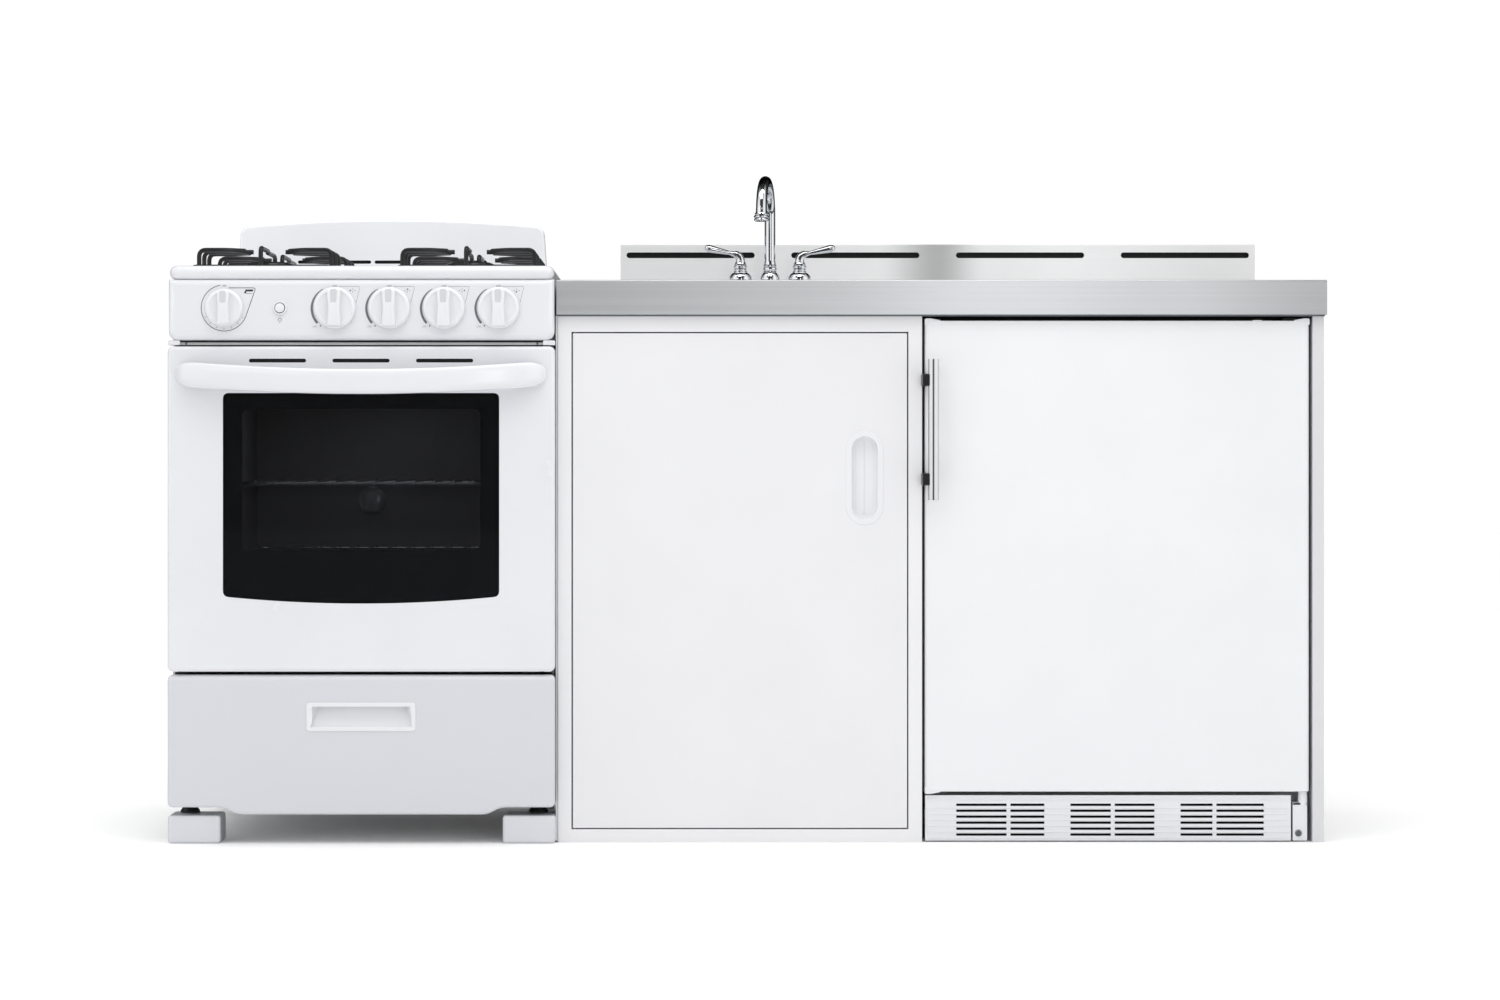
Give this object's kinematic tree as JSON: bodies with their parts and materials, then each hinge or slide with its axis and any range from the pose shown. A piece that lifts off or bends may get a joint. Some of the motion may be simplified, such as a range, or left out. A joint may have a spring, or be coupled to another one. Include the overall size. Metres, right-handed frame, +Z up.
{
  "type": "kitchenette unit with sink and hob",
  "caption": "Free-standing kitchenette: gas range with oven and drawer, steel sink worktop with swivel faucet, base cabinet, and an under-counter refrigerator.",
  "frame": {"origin": "on the floor, under the middle of the unit's width and depth", "axes": "+X along the width, from the range to the refrigerator; +Y from the front to the wall; +Z up"},
  "size_m": [1.829, 0.697, 1.0873],
  "materials": {
    "white_enamel": "gloss",
    "white_paint": "satin",
    "white_plastic": "gloss",
    "brushed_steel": "brushed",
    "chrome": "polished",
    "black_plastic": "matt",
    "black_enamel": "satin",
    "black_glass": "polished",
    "dark_enamel": "gloss",
    "zinc": "galvanised",
    "grey_plastic": "matt",
    "clear_plastic": "clear",
    "gasket_rubber": "matt"
  },
  "bodies": {
    "frame": {"range_chassis": "white_enamel", "oven_liner": "dark_enamel", "cooktop_pan": "white_enamel", "backguard": "white_enamel", "control_panel": "white_enamel", "gas_manifold": "zinc", "oven_rack_upper": "chrome", "oven_rack_lower": "chrome", "oven_burner": "brushed_steel", "burner_front_left": "black_enamel", "burner_front_right": "black_enamel", "burner_rear_left": "black_enamel", "burner_rear_right": "black_enamel", "range_foot_left": "white_paint", "range_foot_right": "white_paint", "range_rear_skid": "grey_plastic", "worktop": "brushed_steel", "backsplash": "brushed_steel", "sink_bowl": "brushed_steel", "drain_trap": "chrome", "faucet_base": "chrome", "cabinet_box": "white_paint", "face_frame": "white_paint", "hinge_pin_upper": "zinc", "hinge_pin_lower": "zinc", "end_panel": "white_paint", "fridge_cabinet": "white_paint", "kick_grille": "white_plastic", "fridge_hinge_lower": "white_paint", "fridge_hinge_upper": "zinc", "fridge_shelf": "clear_plastic", "crisper_bin": "clear_plastic", "compressor": "black_plastic"},
    "oven_door": {"oven_door_panel": "white_enamel", "oven_door_glass": "black_glass", "oven_door_liner": "dark_enamel", "oven_door_handle": "white_enamel"},
    "drawer": {"drawer_front": "white_enamel", "drawer_tray": "zinc", "drawer_pull": "white_enamel"},
    "burner_knob_1": {"burner_knob_1": "white_plastic"},
    "burner_knob_2": {"burner_knob_2": "white_plastic"},
    "burner_knob_3": {"burner_knob_3": "white_plastic"},
    "burner_knob_4": {"burner_knob_4": "white_plastic"},
    "oven_knob": {"oven_knob": "white_plastic"},
    "oven_light_button": {"oven_light_button": "white_plastic"},
    "grate_left": {"grate_left": "black_enamel"},
    "grate_right": {"grate_right": "black_enamel"},
    "cabinet_door": {"cabinet_door": "white_paint", "cabinet_door_pull": "white_plastic"},
    "faucet_spout": {"faucet_spout": "chrome"},
    "faucet_lever_left": {"faucet_lever_left": "chrome"},
    "faucet_lever_right": {"faucet_lever_right": "chrome"},
    "strainer_basket": {"strainer_basket": "brushed_steel"},
    "fridge_door": {"fridge_door": "white_paint", "door_gasket": "gasket_rubber", "fridge_handle_bar": "brushed_steel", "handle_bracket_lower": "black_plastic", "handle_bracket_upper": "black_plastic"},
    "thermostat_dial": {"thermostat_dial": "grey_plastic"}
  },
  "joints": [
    {"name": "oven_door_hinge", "type": "hinge", "parent": "frame", "child": "oven_door", "pos_m": [-0.609, -0.2895, 0.283], "axis": [1, 0, 0], "range_deg": [0, 90]},
    {"name": "drawer_slide", "type": "slide", "parent": "frame", "child": "drawer", "axis": [0, -1, 0], "range_m": [0, 0.34]},
    {"name": "burner_knob_1_turn", "type": "hinge", "parent": "frame", "child": "burner_knob_1", "pos_m": [-0.6505, -0.299, 0.844], "axis": [0, -1, 0], "range_deg": [0, 150]},
    {"name": "burner_knob_2_turn", "type": "hinge", "parent": "frame", "child": "burner_knob_2", "pos_m": [-0.5645, -0.299, 0.844], "axis": [0, -1, 0], "range_deg": [0, 150]},
    {"name": "burner_knob_3_turn", "type": "hinge", "parent": "frame", "child": "burner_knob_3", "pos_m": [-0.4785, -0.299, 0.844], "axis": [0, -1, 0], "range_deg": [0, 150]},
    {"name": "burner_knob_4_turn", "type": "hinge", "parent": "frame", "child": "burner_knob_4", "pos_m": [-0.3925, -0.299, 0.844], "axis": [0, -1, 0], "range_deg": [0, 150]},
    {"name": "oven_knob_turn", "type": "hinge", "parent": "frame", "child": "oven_knob", "pos_m": [-0.8245, -0.299, 0.844], "axis": [0, -1, 0], "range_deg": [0, 290]},
    {"name": "oven_light_push", "type": "slide", "parent": "frame", "child": "oven_light_button", "axis": [0, 1, 0], "range_m": [0, 0.003], "stiffness_N_per_m": 400},
    {"name": "grate_left_lift", "type": "slide", "parent": "frame", "child": "grate_left", "axis": [0, 0, 1], "range_m": [0, 0.06]},
    {"name": "grate_right_lift", "type": "slide", "parent": "frame", "child": "grate_right", "axis": [0, 0, 1], "range_m": [0, 0.06]},
    {"name": "cabinet_door_hinge", "type": "hinge", "parent": "frame", "child": "cabinet_door", "pos_m": [-0.2725, -0.2705, 0.4], "axis": [0, 0, -1], "range_deg": [0, 90]},
    {"name": "spout_swivel", "type": "hinge", "parent": "frame", "child": "faucet_spout", "pos_m": [0.048, 0.2335, 0.93], "axis": [0, 0, 1], "range_deg": [-90, 90]},
    {"name": "lever_left_turn", "type": "hinge", "parent": "frame", "child": "faucet_lever_left", "pos_m": [-0.0028, 0.2335, 0.93], "axis": [0, 0, 1], "range_deg": [0, 90]},
    {"name": "lever_right_turn", "type": "hinge", "parent": "frame", "child": "faucet_lever_right", "pos_m": [0.0988, 0.2335, 0.93], "axis": [0, 0, -1], "range_deg": [0, 90]},
    {"name": "strainer_lift", "type": "slide", "parent": "frame", "child": "strainer_basket", "axis": [0, 0, 1], "range_m": [0, 0.2]},
    {"name": "fridge_door_hinge", "type": "hinge", "parent": "frame", "child": "fridge_door", "pos_m": [0.8795, -0.2625, 0.45], "axis": [0, 0, 1], "range_deg": [0, 95]},
    {"name": "thermostat_turn", "type": "hinge", "parent": "frame", "child": "thermostat_dial", "pos_m": [0.584, -0.1365, 0.785], "axis": [0, 0, -1], "range_deg": [0, 300]}
  ]
}
